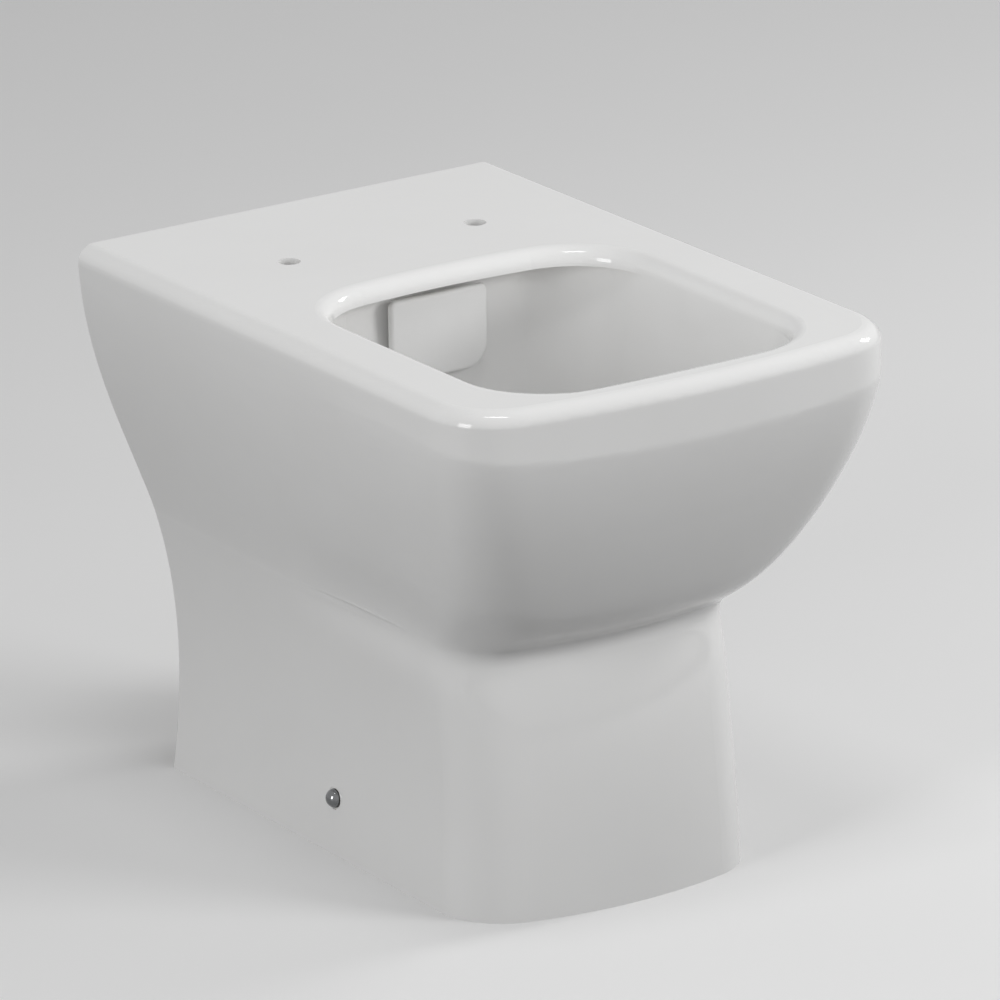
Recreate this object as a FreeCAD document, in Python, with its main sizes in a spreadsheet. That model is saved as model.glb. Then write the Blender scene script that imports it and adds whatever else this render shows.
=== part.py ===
"""Floor-standing, back-to-wall toilet pan with its flush fittings and side fixings, as an assembly.

Frame: Z up, the front of the pan faces -Y, X to the right seen from the front, and the origin on the
floor under the middle of the pan's box. Sizes along the depth are distances from the wall.
"""
import FreeCAD, Part
import math
import os
import re
import Sketcher

SIZES = {
    "overall": {
        "width": 361,
        "depth": 510,
        "height": 400,
        "wall": 12,
        "deck": 14,
        "rim_round": 13,
    },
    "outline of the foot on the floor": {
        "floor_half_wall": 107,
        "floor_half_front": 120,
        "floor_front": 421,
    },
    "outline at the side screws": {
        "ankle_level": 40,
        "ankle_half_wall": 102,
        "ankle_half_front": 118,
        "ankle_front": 421,
    },
    "outline at the middle of the foot": {
        "calf_level": 130,
        "calf_half_wall": 103.5,
        "calf_half_front": 115,
        "calf_front": 414,
    },
    "outline of the waist, where the bowl meets the foot": {
        "waist_level": 192,
        "waist_half_wall": 117,
        "waist_half_front": 121,
        "waist_front": 398,
    },
    "outline of the rim": {
        "rim_taper": 4.5,
    },
    "bow of the front, corners, and how the bowl swells": {
        "foot_bow": 23,
        "rim_bow": 18,
        "foot_corner": 51,
        "rim_corner": 55,
        "side_swell": 1.12,
        "front_swell": 0.55,
    },
    "mouth and bowl": {
        "mouth_half": 124,
        "mouth_back": 197,
        "mouth_front": 477,
        "mouth_back_bow": 11,
        "mouth_front_bow": 3,
        "mouth_corner": 60,
        "lip_depth": 13,
        "lip_round": 11,
        "bowl_back": 177,
        "bowl_fall": 0.85,
        "sump_level": 56,
        "sump_half": 34,
        "sump_back": 282,
        "sump_front": 330,
        "sump_corner": 16,
    },
    "trap and waste spigot": {
        "trap_radius": 28,
        "trap_wall": 10,
        "trap_start": 318,
        "trap_level": 84,
        "trap_turn": 250,
        "trap_bend": 50,
        "trap_angle": 70,
        "outlet_level": 190,
        "spigot_radius": 51,
        "spigot_bore": 42,
        "spigot_end": 70,
        "spigot_length": 50,
        "spigot_taper": 16,
    },
    "flush inlet": {
        "inlet_drop": 55,
        "inlet_radius": 27.5,
        "inlet_wall": 9,
        "inlet_end": 42,
    },
    "flush pipe seal": {
        "pipe_radius": 22.4,
        "seal_play": 0.1,
        "seal_length": 48,
        "seal_flange": 34,
        "seal_flange_thick": 4,
    },
    "flush deflector and its ring": {
        "plate_half": 40,
        "plate_drop": 6.5,
        "plate_tall": 60,
        "plate_thick": 4.5,
        "plate_front": 190,
        "plate_corner": 18,
        "collar_play": 0.9,
        "collar_wall": 4,
        "collar_inner_end": 149,
        "collar_outer_end": 173,
        "rib_half": 6,
        "ring_back": 159,
        "ring_thick": 2.5,
        "ring_play": 0.15,
    },
    "seat holes": {
        "seat_spacing": 155,
        "seat_back": 119,
        "seat_radius": 8,
    },
    "side fixings": {
        "fix_back": 215,
        "fix_hole": 5,
        "spot_sink": 0.6,
        "spot_radius": 8,
        "bush_play": 0.3,
        "bush_length": 10,
        "flange_radius": 5.5,
        "flange_thick": 1,
        "screw_radius": 3,
        "screw_play": 0.2,
        "thread_play": 0.05,
        "screw_length": 34,
        "screw_end_room": 2,
        "head_radius": 4,
        "head_tall": 2.4,
        "cap_radius": 6.9,
        "cap_thick": 0.7,
        "cap_lift": 0.3,
        "bracket_gap": 13,
        "bracket_thick": 24,
        "bracket_half": 16,
        "bracket_over": 16,
        "bracket_reach": 40,
        "bracket_floor": 6,
        "bracket_hole": 4.25,
        "nut_radius": 5,
        "nut_length": 14,
    },
    "how far a cut runs past the face it opens": {
        "overcut": 1,
    },
}
ALIASES = {alias for values in SIZES.values() for alias in values}

# Half widths of the rim in front and at the wall, where the pan is a little narrower.
RIM_HALF_FRONT = "width / 2"
RIM_HALF_WALL = "(width / 2 - rim_taper)"
# Levels of the bowl's outside, as shares of the way from the waist up to the rim.
BOWL_OUTSIDE_STEPS = ("0.08", "0.22", "0.45", "0.7", "0.88")
# Levels of the bowl's inside, as shares of the way from under the lip down to the sump.
BOWL_INSIDE_STEPS = ("0", "0.2", "0.4", "0.6", "0.8", "1")

# Two places closer together than this count as one, in millimetres.
TOUCH = 0.01

INLET_LEVEL = "(height - inlet_drop)"
SIDE_SEAT = ("(ankle_half_wall + (ankle_half_front - ankle_half_wall) * fix_back / (ankle_front - foot_bow)"
             " - spot_sink)")

doc = FreeCAD.newDocument("back_to_wall_pan")
sheet = doc.addObject("Spreadsheet::Sheet", "sizes")


def fill_sheet():
    """Write every driving size into the sheet, with its name as the cell's alias."""
    row = 1
    for heading, values in SIZES.items():
        sheet.set(f"A{row}", heading)
        row += 1
        for alias, size in values.items():
            sheet.set(f"A{row}", alias)
            sheet.set(f"B{row}", str(size))
            sheet.setAlias(f"B{row}", alias)
            row += 1
    doc.recompute()


def formula(text):
    """A formula in plain size names, with each name turned into a reference to its cell."""
    return re.sub(r"[a-z]\w*", lambda word: "sizes." + word[0] if word[0] in ALIASES else word[0], text)


def number(text):
    """The present value of a formula."""
    result = sheet.evalExpression(formula(text))
    return float(getattr(result, "Value", result))


def bind(thing, path, text):
    """Tie a property to a formula of the sheet's sizes."""
    thing.setExpression(path, formula(text))


def new_body(label):
    """A body in wall coordinates, moved so that the frame's origin is under the pan's middle."""
    body = doc.addObject("PartDesign::Body", label)
    body.Label = label
    bind(body, "Placement.Base.y", "depth / 2")
    return body


def new_sketch(body, name, plane, lift="0", rise="0"):
    """A sketch on one of the body's own planes, lifted along its normal and raised in its plane."""
    sketch = body.newObject("Sketcher::SketchObject", name)
    base = next(item for item in body.Origin.OriginFeatures if item.Role == plane)
    sketch.AttachmentSupport = (base, [""])
    sketch.MapMode = "FlatFace"
    bind(sketch, "AttachmentOffset.Base.z", lift)
    bind(sketch, "AttachmentOffset.Base.y", rise)
    return sketch


def dimension(sketch, name, kind, places, text):
    """Add a named dimension and tie it to a formula."""
    present = number(text)
    if kind == "Angle":
        present = math.radians(present)
    index = sketch.addConstraint(Sketcher.Constraint(kind, *places, present))
    sketch.renameConstraint(index, name)
    bind(sketch, f"Constraints.{name}", text)


def pin(sketch, name, curve, end, across, along):
    """Hold a curve's end at a place in the sketch that two formulas give."""
    for kind, axis, text in (("DistanceX", -2, across), ("DistanceY", -1, along)):
        present = number(text)
        if abs(present) < TOUCH:
            sketch.addConstraint(Sketcher.Constraint("PointOnObject", curve, end, axis))
        elif present > 0:
            dimension(sketch, f"{name}_{kind}", kind, (-1, 1, curve, end), text)
        else:
            dimension(sketch, f"{name}_{kind}", kind, (curve, end, -1, 1), f"-({text})")


def apex(sketch, name, arc, along):
    """A point in the middle of an arc that is centred on the sketch's upright axis, held at a height."""
    point = sketch.addGeometry(Part.Point(FreeCAD.Vector(0, number(along), 0)), True)
    sketch.addConstraint(Sketcher.Constraint("PointOnObject", arc, 3, -2))
    sketch.addConstraint(Sketcher.Constraint("PointOnObject", point, 1, arc))
    pin(sketch, name, point, 1, "0", along)


def arc_between(centre, start, end):
    """The arc about a centre that runs anticlockwise from one point to another."""
    radius = start.distanceToPoint(centre)
    circle = Part.Circle(centre, FreeCAD.Vector(0, 0, 1), radius)
    first = math.atan2(start.y - centre.y, start.x - centre.x)
    last = math.atan2(end.y - centre.y, end.x - centre.x)
    while last < first:
        last += 2 * math.pi
    return Part.ArcOfCircle(circle, first, last)


def flip(point):
    """The point's mirror image across the sketch's upright axis."""
    return FreeCAD.Vector(-point.x, point.y, 0)


def join_tangent(sketch, pairs):
    """Join the end of each first curve to the start of each second one, tangent to it."""
    for first, second in pairs:
        sketch.addConstraint(Sketcher.Constraint("Tangent", first, 2, second, 1))


def polygon(sketch, name, points):
    """A closed outline of straight lines through points given as pairs of formulas."""
    places = [FreeCAD.Vector(number(across), number(along), 0) for across, along in points]
    lines = []
    for start, end in zip(places, places[1:] + places[:1]):
        lines.append(sketch.addGeometry(Part.LineSegment(start, end)))
    for line, following in zip(lines, lines[1:] + lines[:1]):
        sketch.addConstraint(Sketcher.Constraint("Coincident", line, 2, following, 1))
    for index, (across, along) in enumerate(points):
        pin(sketch, f"{name}_{index}", lines[index], 1, across, along)


def circle(sketch, name, across, along, radius):
    """A circle whose centre and radius are formulas."""
    middle = FreeCAD.Vector(number(across), number(along), 0)
    curve = sketch.addGeometry(Part.Circle(middle, FreeCAD.Vector(0, 0, 1), number(radius)))
    pin(sketch, name, curve, 3, across, along)
    dimension(sketch, f"{name}_radius", "Radius", (curve,), radius)


def bow_radius(half, bow):
    """Formula of the radius of an arc that bows by so much over so long a half width."""
    return f"((({half})^2 + ({bow})^2) / (2 * ({bow})))"


def outline_sketch(body, name, level, shape, inset="0", overrun="0"):
    """Outline of the pan at one level: wall line, straight sides, round corners and a bowed front."""
    half = f"({shape['half_wall']} - {inset})"
    radius = f"({bow_radius(shape['half_front'], shape['bow'])} - {inset})"
    front = f"({shape['front']} - {inset})"
    corner = f"({shape['corner']} - {inset})"
    lean = f"atan(({shape['half_front']} - ({shape['half_wall']})) / ({shape['front']} - {shape['bow']}))"
    sketch = new_sketch(body, name, "XY_Plane", level)
    angle = math.radians(number(lean))
    along = FreeCAD.Vector(math.sin(angle), -math.cos(angle), 0)
    inward = FreeCAD.Vector(-math.cos(angle), -math.sin(angle), 0)
    wall_end = FreeCAD.Vector(number(half), number(overrun), 0)
    middle = FreeCAD.Vector(0, number(f"{radius} - {front}"), 0)
    first = wall_end + inward * number(corner)
    reach = first - middle
    slope = reach.dot(along)
    room = slope ** 2 - reach.dot(reach) + (number(radius) - number(corner)) ** 2
    bend = first + along * (math.sqrt(room) - slope)
    side_end = bend - inward * number(corner)
    front_end = bend + (bend - middle).normalize() * number(corner)
    sketch.addGeometry([
        Part.LineSegment(wall_end, flip(wall_end)),
        Part.LineSegment(flip(wall_end), flip(side_end)),
        arc_between(flip(bend), flip(side_end), flip(front_end)),
        arc_between(middle, flip(front_end), front_end),
        arc_between(bend, front_end, side_end),
        Part.LineSegment(side_end, wall_end),
    ])
    sketch.addConstraint([
        Sketcher.Constraint("Coincident", 0, 2, 1, 1),
        Sketcher.Constraint("Coincident", 5, 2, 0, 1),
        Sketcher.Constraint("Symmetric", 0, 1, 0, 2, -2),
        Sketcher.Constraint("Symmetric", 1, 2, 5, 1, -2),
    ])
    join_tangent(sketch, ((1, 2), (2, 3), (3, 4), (4, 5)))
    pin(sketch, "wall", 0, 1, half, overrun)
    dimension(sketch, "lean", "Angle", (5,), f"90 deg + {lean}")
    dimension(sketch, "corner", "Radius", (2,), corner)
    dimension(sketch, "front_radius", "Radius", (3,), radius)
    apex(sketch, "front", 3, f"-{front}")
    return sketch


def ring_sketch(body, name, level, ring, grow="0"):
    """Outline of the bowl at one level: straight sides, bowed front and back, round corners."""
    half = f"({ring['half']} + {grow})"
    back = f"({ring['back']} - {grow})"
    front = f"({ring['front']} + {grow})"
    corner = f"({ring['corner']} + {grow})"
    back_radius = f"({bow_radius(ring['half'], ring['back_bow'])} + {grow})"
    front_radius = f"({bow_radius(ring['half'], ring['front_bow'])} + {grow})"
    sketch = new_sketch(body, name, "XY_Plane", level)
    back_middle = FreeCAD.Vector(0, number(f"-{back} - {back_radius}"), 0)
    front_middle = FreeCAD.Vector(0, number(f"{front_radius} - {front}"), 0)
    across = number(f"{half} - {corner}")
    back_away = math.sqrt(number(f"{back_radius} - {corner}") ** 2 - across ** 2)
    front_away = math.sqrt(number(f"{front_radius} - {corner}") ** 2 - across ** 2)
    back_bend = FreeCAD.Vector(across, back_middle.y + back_away, 0)
    front_bend = FreeCAD.Vector(across, front_middle.y - front_away, 0)
    outward = FreeCAD.Vector(number(corner), 0, 0)
    back_end = back_bend + (back_bend - back_middle).normalize() * number(corner)
    front_end = front_bend + (front_bend - front_middle).normalize() * number(corner)
    back_side = back_bend + outward
    front_side = front_bend + outward
    sketch.addGeometry([
        arc_between(back_middle, back_end, flip(back_end)),
        arc_between(flip(back_bend), flip(back_end), flip(back_side)),
        Part.LineSegment(flip(back_side), flip(front_side)),
        arc_between(flip(front_bend), flip(front_side), flip(front_end)),
        arc_between(front_middle, flip(front_end), front_end),
        arc_between(front_bend, front_end, front_side),
        Part.LineSegment(front_side, back_side),
        arc_between(back_bend, back_side, back_end),
    ])
    join_tangent(sketch, [(curve, (curve + 1) % 8) for curve in range(8)])
    sketch.addConstraint([
        Sketcher.Constraint("Vertical", 2),
        Sketcher.Constraint("Symmetric", 2, 1, 6, 2, -2),
        Sketcher.Constraint("Symmetric", 2, 2, 6, 1, -2),
    ])
    dimension(sketch, "half", "DistanceX", (-1, 1, 6, 1), half)
    dimension(sketch, "back_radius", "Radius", (0,), back_radius)
    dimension(sketch, "front_radius", "Radius", (4,), front_radius)
    dimension(sketch, "back_corner", "Radius", (1,), corner)
    dimension(sketch, "front_corner", "Radius", (3,), corner)
    apex(sketch, "back", 0, f"-{back}")
    apex(sketch, "front", 4, f"-{front}")
    return sketch


def loft(body, kind, name, sketches):
    """A smooth loft through sketches, added to the body or taken from it."""
    feature = body.newObject(f"PartDesign::{kind}Loft", name)
    feature.Profile = sketches[0]
    feature.Sections = sketches[1:]
    return feature


def pad(body, name, sketch, length):
    """A pad along the sketch's normal."""
    feature = body.newObject("PartDesign::Pad", name)
    feature.Profile = sketch
    bind(feature, "Length", length)
    return feature


def pocket(body, name, sketch, length, reverse=False):
    """A pocket against the sketch's normal, or along it if reversed."""
    feature = body.newObject("PartDesign::Pocket", name)
    feature.Profile = sketch
    feature.Reversed = reverse
    bind(feature, "Length", length)
    return feature


def turn(body, kind, name, sketch):
    """A full turn of a sketch about its own level axis: a Revolution or a Groove."""
    feature = body.newObject(f"PartDesign::{kind}", name)
    feature.Profile = sketch
    feature.ReferenceAxis = (sketch, ["H_Axis"])
    feature.Angle = 360
    return feature


def turned_body(label, points, plane="XY_Plane", rise="0"):
    """A body turned from one closed outline about the level axis of its sketch."""
    body = new_body(label)
    sketch = new_sketch(body, f"{label}_outline", plane, rise=rise)
    polygon(sketch, "point", points)
    turn(body, "Revolution", f"{label}_turn", sketch)
    return body


def foot_shape(zone):
    """Formulas of the foot's outline at a named level."""
    return {
        "half_wall": f"{zone}_half_wall",
        "half_front": f"{zone}_half_front",
        "front": f"{zone}_front",
        "bow": "foot_bow",
        "corner": "foot_corner",
    }


def bowl_shape(share):
    """Formulas of the outline at a share of the way from the waist up to the rim."""
    side = f"(sin(90 deg * {share}))^side_swell"
    fore = f"(sin(90 deg * {share}))^front_swell"
    return {
        "half_wall": f"(waist_half_wall + ({RIM_HALF_WALL} - waist_half_wall) * {side})",
        "half_front": f"(waist_half_front + ({RIM_HALF_FRONT} - waist_half_front) * {side})",
        "front": f"(waist_front + (depth - waist_front) * {fore})",
        "bow": f"(foot_bow + (rim_bow - foot_bow) * {share})",
        "corner": f"(foot_corner + (rim_corner - foot_corner) * {share})",
    }


def foot_levels():
    """Levels and outlines from the floor up to the waist."""
    return [
        ("0", foot_shape("floor")),
        ("ankle_level", foot_shape("ankle")),
        ("calf_level", foot_shape("calf")),
        ("waist_level", foot_shape("waist")),
    ]


def bowl_levels(top):
    """Levels and outlines from the waist up to a given level."""
    top_share = f"(({top} - waist_level) / (height - waist_level))"
    levels = [("waist_level", foot_shape("waist"))]
    for share in BOWL_OUTSIDE_STEPS + (top_share,):
        levels.append((f"waist_level + (height - waist_level) * {share}", bowl_shape(share)))
    return levels


def ring_shape(share):
    """Formulas of the bowl's inside at a share of the way from under the lip down to the sump."""
    half = f"(sump_half + (mouth_half - sump_half) * cos(90 deg * {share}))"
    return {
        "half": half,
        "back": f"(bowl_back + (sump_back - bowl_back) * ({share})^2)",
        "front": f"(mouth_front + (sump_front - mouth_front) * ({share})^bowl_fall)",
        "back_bow": f"(mouth_back_bow * {half} / mouth_half)",
        "front_bow": f"(mouth_front_bow * {half} / mouth_half)",
        "corner": f"(mouth_corner + (sump_corner - mouth_corner) * {share})",
    }


def inside_levels(bottom):
    """Levels and outlines of the bowl's inside, the last one at a given level."""
    under_lip = "(height - lip_depth)"
    levels = [(f"{under_lip} + (sump_level - {under_lip}) * {share}", ring_shape(share))
              for share in BOWL_INSIDE_STEPS]
    levels[-1] = (bottom, levels[-1][1])
    return levels


def outline_loft(body, kind, name, levels, inset, overrun):
    """A loft through outlines of the pan at several levels."""
    sketches = [outline_sketch(body, f"{name}_{index}", level, shape, inset, overrun)
                for index, (level, shape) in enumerate(levels)]
    loft(body, kind, name, sketches)


def add_shroud(body):
    """The outside of the pan, hollow inside and open to the floor and the wall."""
    outline_loft(body, "Additive", "foot", foot_levels(), "0", "wall")
    outline_loft(body, "Additive", "bowl", bowl_levels("height"), "0", "wall")
    wall_plane = new_sketch(body, "wall_plane", "XZ_Plane")
    polygon(wall_plane, "corner", (
        ("-depth", "-wall"),
        ("depth", "-wall"),
        ("depth", "height + wall"),
        ("-depth", "height + wall"),
    ))
    pocket(body, "wall_trim", wall_plane, "2 * wall")
    outline_loft(body, "Subtractive", "foot_hollow", foot_levels(), "wall", "2 * wall")
    outline_loft(body, "Subtractive", "bowl_hollow", bowl_levels("(height - deck)"), "wall", "2 * wall")


def trap_path(body):
    """Centre line of the trap: back from the sump, up a riser and level to the spigot."""
    sketch = new_sketch(body, "trap_path", "YZ_Plane")
    bend = number("trap_bend")
    angle = math.radians(number("trap_angle"))
    rise = FreeCAD.Vector(math.cos(angle), math.sin(angle), 0)
    right = FreeCAD.Vector(math.sin(angle), -math.cos(angle), 0)
    start = FreeCAD.Vector(-number("trap_start"), number("trap_level"), 0)
    turn_in = FreeCAD.Vector(-number("trap_turn"), start.y, 0)
    low_centre = turn_in + FreeCAD.Vector(0, bend, 0)
    riser_start = low_centre + right * bend
    climb = number("outlet_level - trap_level") - 2 * bend * (1 - math.cos(angle))
    riser_end = riser_start + rise * (climb / math.sin(angle))
    high_centre = riser_end + right * bend
    turn_out = high_centre + FreeCAD.Vector(0, bend, 0)
    end = FreeCAD.Vector(-number("spigot_end + spigot_length"), turn_out.y, 0)
    sketch.addGeometry([
        Part.LineSegment(start, turn_in),
        arc_between(low_centre, turn_in, riser_start),
        Part.LineSegment(riser_start, riser_end),
        arc_between(high_centre, turn_out, riser_end),
        Part.LineSegment(turn_out, end),
    ])
    for first, end_a, second, end_b in ((0, 2, 1, 1), (1, 2, 2, 1), (2, 2, 3, 2), (3, 1, 4, 1)):
        sketch.addConstraint(Sketcher.Constraint("Tangent", first, end_a, second, end_b))
    sketch.addConstraint([
        Sketcher.Constraint("Horizontal", 0),
        Sketcher.Constraint("Horizontal", 4),
        Sketcher.Constraint("Equal", 1, 3),
    ])
    pin(sketch, "start", 0, 1, "-trap_start", "trap_level")
    pin(sketch, "end", 4, 2, "-(spigot_end + spigot_length)", "outlet_level")
    dimension(sketch, "turn", "DistanceX", (0, 2, -1, 1), "trap_turn")
    dimension(sketch, "bend", "Radius", (1,), "trap_bend")
    dimension(sketch, "angle", "Angle", (2,), "trap_angle * 1 deg")
    return sketch


def trap_pipe(body, kind, path, radius):
    """A round pipe along the trap's centre line, added to the body or taken from it."""
    sketch = new_sketch(body, f"trap_{kind.lower()}", "XZ_Plane", "trap_start")
    circle(sketch, "pipe", "0", "trap_level", radius)
    feature = body.newObject(f"PartDesign::{kind}Pipe", f"trap_{kind.lower()}_pipe")
    feature.Profile = sketch
    feature.Spine = (path, [f"Edge{index}" for index in range(1, 6)])
    return feature


def spigot_sketch(body, name, trap, spigot, end):
    """Half outline of the spigot or its bore: the trap's radius, a taper, then its own radius."""
    sketch = new_sketch(body, name, "YZ_Plane", rise="outlet_level")
    shoulder = "-(spigot_end + spigot_length)"
    polygon(sketch, "point", (
        (f"{shoulder} - spigot_taper", "0"),
        (f"{shoulder} - spigot_taper", trap),
        (shoulder, spigot),
        (end, spigot),
        (end, "0"),
    ))
    return sketch


def add_bowl_and_ways(body, path):
    """The outsides of the bowl, trap, spigot and flush inlet, inside the hollow shroud."""
    shell = [ring_sketch(body, f"shell_{index}", level, ring, "wall")
             for index, (level, ring) in enumerate(inside_levels("(sump_level - wall)"))]
    loft(body, "Additive", "bowl_shell", shell)
    trap_pipe(body, "Additive", path, "trap_radius + trap_wall")
    spigot = spigot_sketch(body, "spigot_outline", "trap_radius + trap_wall", "spigot_radius", "-spigot_end")
    turn(body, "Revolution", "spigot", spigot)
    horn = new_sketch(body, "inlet_outline", "XZ_Plane", "inlet_end")
    circle(horn, "inlet", "0", INLET_LEVEL, "inlet_radius + inlet_wall")
    pad(body, "inlet_horn", horn, "bowl_back - inlet_end")


def cut_bowl_and_ways(body, path):
    """The mouth, the inside of the bowl, the trap's way out and the flush water's way in."""
    rim_ring = ring_shape("0")
    rim_ring["back"] = "mouth_back"
    mouth = ring_sketch(body, "mouth", "height", rim_ring)
    pocket(body, "mouth_cut", mouth, "lip_depth")
    inside = [ring_sketch(body, f"inside_{index}", level, ring)
              for index, (level, ring) in enumerate(inside_levels("sump_level"))]
    loft(body, "Subtractive", "bowl_inside", inside)
    trap_pipe(body, "Subtractive", path, "trap_radius")
    bore = spigot_sketch(body, "spigot_bore_outline", "trap_radius", "spigot_bore", "overcut - spigot_end")
    turn(body, "Groove", "spigot_bore", bore)
    inlet = new_sketch(body, "inlet_bore_outline", "XZ_Plane", "inlet_end - overcut")
    circle(inlet, "inlet", "0", INLET_LEVEL, "inlet_radius")
    pocket(body, "inlet_bore", inlet, "bowl_back - inlet_end + wall", reverse=True)


def cut_holes(body):
    """The two seat holes through the deck and the two screw holes through the sides of the foot."""
    seat = new_sketch(body, "seat_holes_outline", "XY_Plane", "height")
    for side, sign in (("right", ""), ("left", "-")):
        circle(seat, side, f"{sign}seat_spacing / 2", "-seat_back", "seat_radius")
    pocket(body, "seat_holes", seat, "deck + overcut")
    for side, sign in (("right", ""), ("left", "-")):
        for name, radius, start in (("hole", "fix_hole", "2 * wall"), ("spot", "spot_radius", "0")):
            sketch = new_sketch(body, f"{side}_{name}_outline", "YZ_Plane", f"{sign}({SIDE_SEAT} - {start})")
            circle(sketch, name, "-fix_back", "ankle_level", radius)
            pocket(body, f"{side}_{name}", sketch, "4 * wall", reverse=side == "right")


def top_edges(shape):
    """Edges of the pan's top face: the rim's outer ones, all but its wall side, and the mouth's."""
    top = next(face for face in shape.Faces if face.BoundBox.ZMin > number("height") - TOUCH)
    openings = [wire for wire in top.Wires if not wire.isSame(top.OuterWire)]
    mouth = max(openings, key=lambda wire: wire.Length)
    rim = [edge for edge in top.OuterWire.Edges if edge.CenterOfMass.y < -TOUCH]
    return {"rim_round": rim, "lip_round": mouth.Edges}


def round_edges(body):
    """Round the lip of the mouth and the rim's outer edge."""
    for name in ("lip_round", "rim_round"):
        doc.recompute()
        base = body.Tip
        edges = top_edges(base.Shape)[name]
        names = [f"Edge{index}" for index, edge in enumerate(base.Shape.Edges, start=1)
                 if any(edge.isSame(other) for other in edges)]
        feature = body.newObject("PartDesign::Fillet", name)
        feature.Base = (base, names)
        bind(feature, "Radius", name)


def make_pan():
    """The fired casting: shroud, bowl, trap and inlet in one piece."""
    body = new_body("ceramic_pan")
    path = trap_path(body)
    add_shroud(body)
    add_bowl_and_ways(body, path)
    cut_bowl_and_ways(body, path)
    cut_holes(body)
    round_edges(body)
    return body


def make_inlet_seal():
    """Rubber sleeve that lines the back of the inlet and grips the flush pipe."""
    sleeve = "inlet_radius - seal_play"
    inner_end = "-(inlet_end + seal_length)"
    return turned_body("flush_inlet_seal", (
        ("seal_flange_thick - inlet_end", "pipe_radius"),
        ("seal_flange_thick - inlet_end", "seal_flange"),
        ("-inlet_end", "seal_flange"),
        ("-inlet_end", sleeve),
        (inner_end, sleeve),
        (inner_end, "pipe_radius"),
    ), plane="YZ_Plane", rise=INLET_LEVEL)


def make_deflector():
    """Plate that spreads the flush, on a collar that plugs into the inlet from inside the bowl."""
    outer = "(inlet_radius - collar_play)"
    inner = f"({outer} - collar_wall)"
    groove = "(inlet_radius - ring_thick - 2 * ring_play)"
    near = "ring_thick / 2 + ring_play - ring_back"
    far = "-(ring_back + ring_thick / 2 + ring_play)"
    body = turned_body("flush_deflector", (
        ("-collar_inner_end", inner),
        ("-collar_inner_end", outer),
        (near, outer),
        (near, groove),
        (far, groove),
        (far, outer),
        ("-collar_outer_end", outer),
        ("-collar_outer_end", inner),
    ), plane="YZ_Plane", rise=INLET_LEVEL)
    ribs = new_sketch(body, "ribs_outline", "XZ_Plane", "collar_outer_end - collar_wall")
    for side, sign in (("right", ""), ("left", "-")):
        edge = f"{sign}sqrt({outer}^2 - rib_half^2)"
        polygon(ribs, side, (
            (f"{sign}{inner}", f"{INLET_LEVEL} - rib_half"),
            (edge, f"{INLET_LEVEL} - rib_half"),
            (edge, f"{INLET_LEVEL} + rib_half"),
            (f"{sign}{inner}", f"{INLET_LEVEL} + rib_half"),
        ))
    pad(body, "ribs", ribs, "plate_front - plate_thick / 2 - collar_outer_end + collar_wall")
    plate = new_sketch(body, "plate_outline", "XZ_Plane", "plate_front - plate_thick")
    top = "(height - lip_depth - plate_drop)"
    polygon(plate, "corner", (
        ("-plate_half", f"{top} - plate_tall"),
        ("plate_half", f"{top} - plate_tall"),
        ("plate_half", top),
        ("-plate_half", top),
    ))
    pad(body, "plate", plate, "plate_thick")
    round_plate(body)
    return body


def round_plate(body):
    """Round the plate's two lower corners."""
    doc.recompute()
    base = body.Tip
    low = number("height - lip_depth - plate_drop - plate_tall")
    names = [f"Edge{index}" for index, edge in enumerate(base.Shape.Edges, start=1)
             if abs(edge.CenterOfMass.z - low) < TOUCH and edge.BoundBox.XLength < TOUCH]
    feature = body.newObject("PartDesign::Fillet", "plate_corners")
    feature.Base = (base, names)
    bind(feature, "Radius", "plate_corner")


def make_ring():
    """Square-cut rubber ring in the groove of the deflector's collar."""
    outer = "inlet_radius - ring_play"
    inner = f"{outer} - ring_thick"
    near = "ring_thick / 2 - ring_back"
    far = "-(ring_back + ring_thick / 2)"
    return turned_body("deflector_ring", (
        (near, inner),
        (near, outer),
        (far, outer),
        (far, inner),
    ), plane="YZ_Plane", rise=INLET_LEVEL)


def seat_on_side(thing, side, axis, angle, lift="0"):
    """Place a fixing on the seat of its side hole, its own axis along X and pointing outwards."""
    sign = "" if side == "right" else "-"
    rotation = FreeCAD.Rotation(axis, angle if side == "right" else angle - 180)
    thing.Placement = FreeCAD.Placement(FreeCAD.Vector(), rotation)
    bind(thing, "Placement.Base.x", f"{sign}({SIDE_SEAT} + {lift})")
    bind(thing, "Placement.Base.y", "depth / 2 - fix_back")
    bind(thing, "Placement.Base.z", "ankle_level")


def make_turned_fixings(side):
    """The flanged bush, cap retainer, screw and threaded insert of one side."""
    bore = "screw_radius + screw_play"
    under_head = "2 * flange_thick"
    outlines = {
        "side_bush": (
            ("flange_thick", bore),
            ("flange_thick", "flange_radius"),
            ("0", "flange_radius"),
            ("0", "fix_hole - bush_play"),
            ("-bush_length", "fix_hole - bush_play"),
            ("-bush_length", bore),
        ),
        "cap_retainer": (
            (under_head, bore),
            (under_head, "flange_radius"),
            ("flange_thick", "flange_radius"),
            ("flange_thick", bore),
        ),
        "side_screw": (
            (f"{under_head} - screw_length", "0"),
            (f"{under_head} - screw_length", "screw_radius"),
            (under_head, "screw_radius"),
            (under_head, "head_radius"),
            (f"{under_head} + head_tall", "head_radius"),
            (f"{under_head} + head_tall", "0"),
        ),
        "bracket_nut": (
            ("-bracket_gap", "screw_radius + thread_play"),
            ("-bracket_gap", "nut_radius"),
            ("-(bracket_gap + nut_length)", "nut_radius"),
            ("-(bracket_gap + nut_length)", "screw_radius + thread_play"),
        ),
    }
    bodies = [turned_body(f"{side}_{name}", points) for name, points in outlines.items()]
    for body in bodies:
        seat_on_side(body, side, FreeCAD.Vector(0, 0, 1), 0)
    return bodies


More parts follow.
